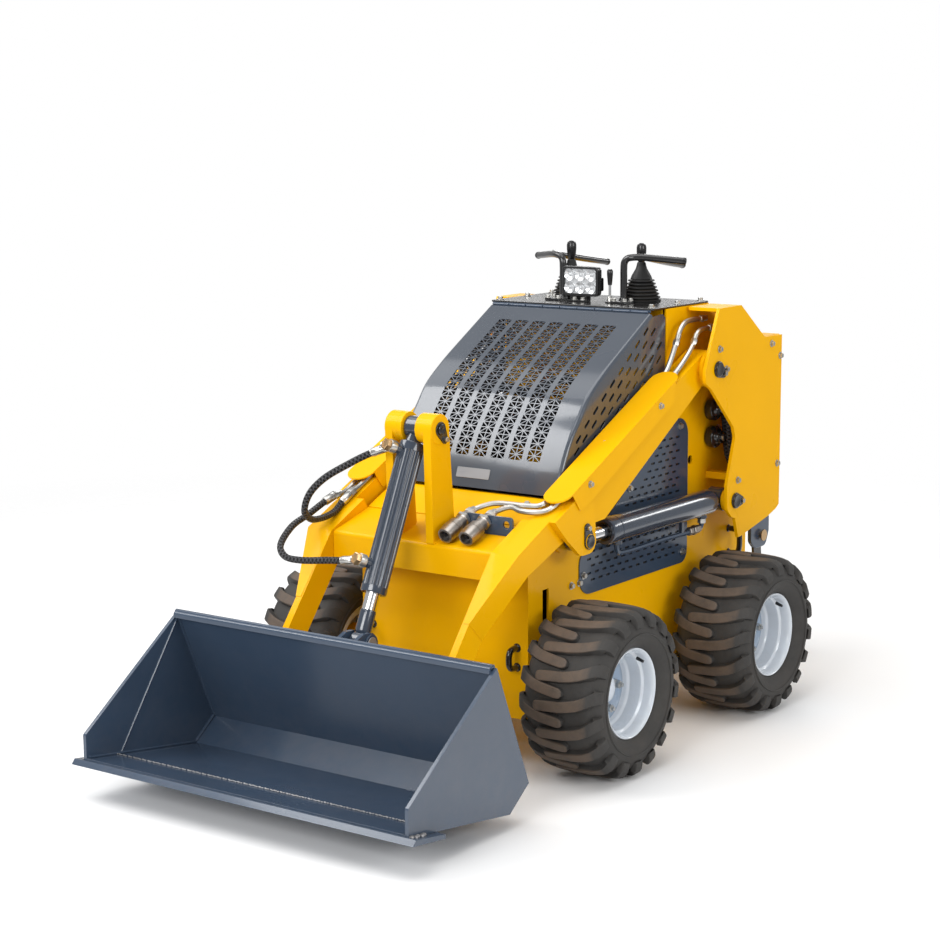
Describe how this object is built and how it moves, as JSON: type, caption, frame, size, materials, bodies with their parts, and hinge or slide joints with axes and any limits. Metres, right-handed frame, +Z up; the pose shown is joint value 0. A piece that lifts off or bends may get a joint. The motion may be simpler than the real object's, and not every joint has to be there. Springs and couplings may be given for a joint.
{
  "type": "skid steer loader",
  "caption": "Compact stand-on skid steer loader with a bucket, twin lift arms, chunky tyres, a folding operator's platform and lever controls.",
  "frame": {"origin": "centre of the bounding box in plan, at the ground under the tyres", "axes": "+X to the machine's left, +Y to the rear, where the operator stands, +Z up"},
  "size_m": [1.113, 2.357, 1.324],
  "materials": {
    "yellow_paint": "gloss",
    "grey_paint": "semi-gloss",
    "black_paint": "semi-gloss",
    "cast_iron": "matt",
    "boot_rubber": "matt",
    "lamp": "matt",
    "steel": "satin",
    "hose": "braided",
    "chrome": "polished",
    "rim_paint": "satin",
    "tyre": "matt"
  },
  "bodies": {
    "chassis": {"main_frame": "yellow_paint", "rear_cover": "yellow_paint", "deck_plate": "grey_paint", "tower_left": "yellow_paint", "tower_right": "yellow_paint", "engine_block": "cast_iron", "side_cover_left": "grey_paint", "side_cover_right": "grey_paint", "handle_left": "black_paint", "handle_right": "black_paint", "joystick_left": "boot_rubber", "joystick_right": "boot_rubber", "throttle_lever": "black_paint", "work_light": "lamp", "tie_down_front_left": "black_paint", "tie_down_front_right": "black_paint", "tie_down_rear_left": "black_paint", "tie_down_rear_right": "black_paint", "platform_bracket": "grey_paint"},
    "hood": {"hood": "grey_paint"},
    "platform": {"platform": "black_paint"},
    "arms": {"arm_left": "yellow_paint", "arm_right": "yellow_paint", "cross_member": "yellow_paint", "guard_left": "yellow_paint", "guard_right": "yellow_paint", "coupler_bracket": "grey_paint", "pipes_left": "steel", "pipes_right": "steel", "hose_upper": "hose", "hose_lower": "hose"},
    "lift_barrel_left": {"lift_barrel_left": "grey_paint"},
    "lift_barrel_right": {"lift_barrel_right": "grey_paint"},
    "lift_rod_left": {"lift_rod_left": "chrome"},
    "lift_rod_right": {"lift_rod_right": "chrome"},
    "tilt_barrel": {"tilt_barrel": "grey_paint"},
    "tilt_rod": {"tilt_rod": "chrome"},
    "bucket": {"bucket": "grey_paint"},
    "wheel_front_left": {"rim_front_left": "rim_paint", "tyre_front_left": "tyre"},
    "wheel_front_right": {"rim_front_right": "rim_paint", "tyre_front_right": "tyre"},
    "wheel_rear_left": {"rim_rear_left": "rim_paint", "tyre_rear_left": "tyre"},
    "wheel_rear_right": {"rim_rear_right": "rim_paint", "tyre_rear_right": "tyre"}
  },
  "joints": [
    {"name": "lift_arms", "type": "hinge", "parent": "chassis", "child": "arms", "pos_m": [0, 0.4515, 0.981], "axis": [-1, 0, 0], "range_deg": [0, 75]},
    {"name": "bucket_tilt", "type": "hinge", "parent": "arms", "child": "bucket", "pos_m": [0, -0.6665, 0.203], "axis": [1, 0, 0], "range_deg": [-12, 110]},
    {"name": "hood_hinge", "type": "hinge", "parent": "chassis", "child": "hood", "pos_m": [0, 0.2705, 1.149], "axis": [-1, 0, 0], "range_deg": [0, 60]},
    {"name": "platform_fold", "type": "hinge", "parent": "chassis", "child": "platform", "pos_m": [0, 0.9335, 0.417], "axis": [1, 0, 0], "range_deg": [0, 85]},
    {"name": "lift_barrel_left_pivot", "type": "hinge", "parent": "chassis", "child": "lift_barrel_left", "pos_m": [0.324, 0.5615, 0.591], "axis": [-1, 0, 0], "range_deg": [0, 55]},
    {"name": "lift_rod_left_slide", "type": "slide", "parent": "lift_barrel_left", "child": "lift_rod_left", "axis": [0, -1, 0.004], "range_m": [0, 0.37]},
    {"name": "lift_barrel_right_pivot", "type": "hinge", "parent": "chassis", "child": "lift_barrel_right", "pos_m": [-0.324, 0.5615, 0.591], "axis": [-1, 0, 0], "range_deg": [0, 55]},
    {"name": "lift_rod_right_slide", "type": "slide", "parent": "lift_barrel_right", "child": "lift_rod_right", "axis": [0, -1, 0.004], "range_m": [0, 0.37]},
    {"name": "tilt_barrel_pivot", "type": "hinge", "parent": "arms", "child": "tilt_barrel", "pos_m": [0, -0.4415, 0.896], "axis": [1, 0, 0], "range_deg": [-1.5, 0.5]},
    {"name": "tilt_rod_slide", "type": "slide", "parent": "tilt_barrel", "child": "tilt_rod", "axis": [0, -0.4276, -0.904], "range_m": [-0.033, 0.291]},
    {"name": "wheel_front_left_spin", "type": "hinge", "parent": "chassis", "child": "wheel_front_left", "pos_m": [0.436, -0.242, 0.225], "axis": [1, 0, 0], "continuous": true},
    {"name": "wheel_front_right_spin", "type": "hinge", "parent": "chassis", "child": "wheel_front_right", "pos_m": [-0.436, -0.242, 0.225], "axis": [1, 0, 0], "continuous": true},
    {"name": "wheel_rear_left_spin", "type": "hinge", "parent": "chassis", "child": "wheel_rear_left", "pos_m": [0.436, 0.519, 0.225], "axis": [1, 0, 0], "continuous": true},
    {"name": "wheel_rear_right_spin", "type": "hinge", "parent": "chassis", "child": "wheel_rear_right", "pos_m": [-0.436, 0.519, 0.225], "axis": [1, 0, 0], "continuous": true}
  ],
  "couplings": [
    {"joint": "lift_barrel_left_pivot", "follows": "lift_arms", "ratio": 0.7215},
    {"joint": "lift_rod_left_slide", "follows": "lift_arms", "m_per_rad": 0.2797},
    {"joint": "lift_barrel_right_pivot", "follows": "lift_arms", "ratio": 0.7215},
    {"joint": "lift_rod_right_slide", "follows": "lift_arms", "m_per_rad": 0.2797},
    {"joint": "tilt_barrel_pivot", "follows": "bucket_tilt", "ratio": -0.0096},
    {"joint": "tilt_rod_slide", "follows": "bucket_tilt", "m_per_rad": 0.1502}
  ]
}
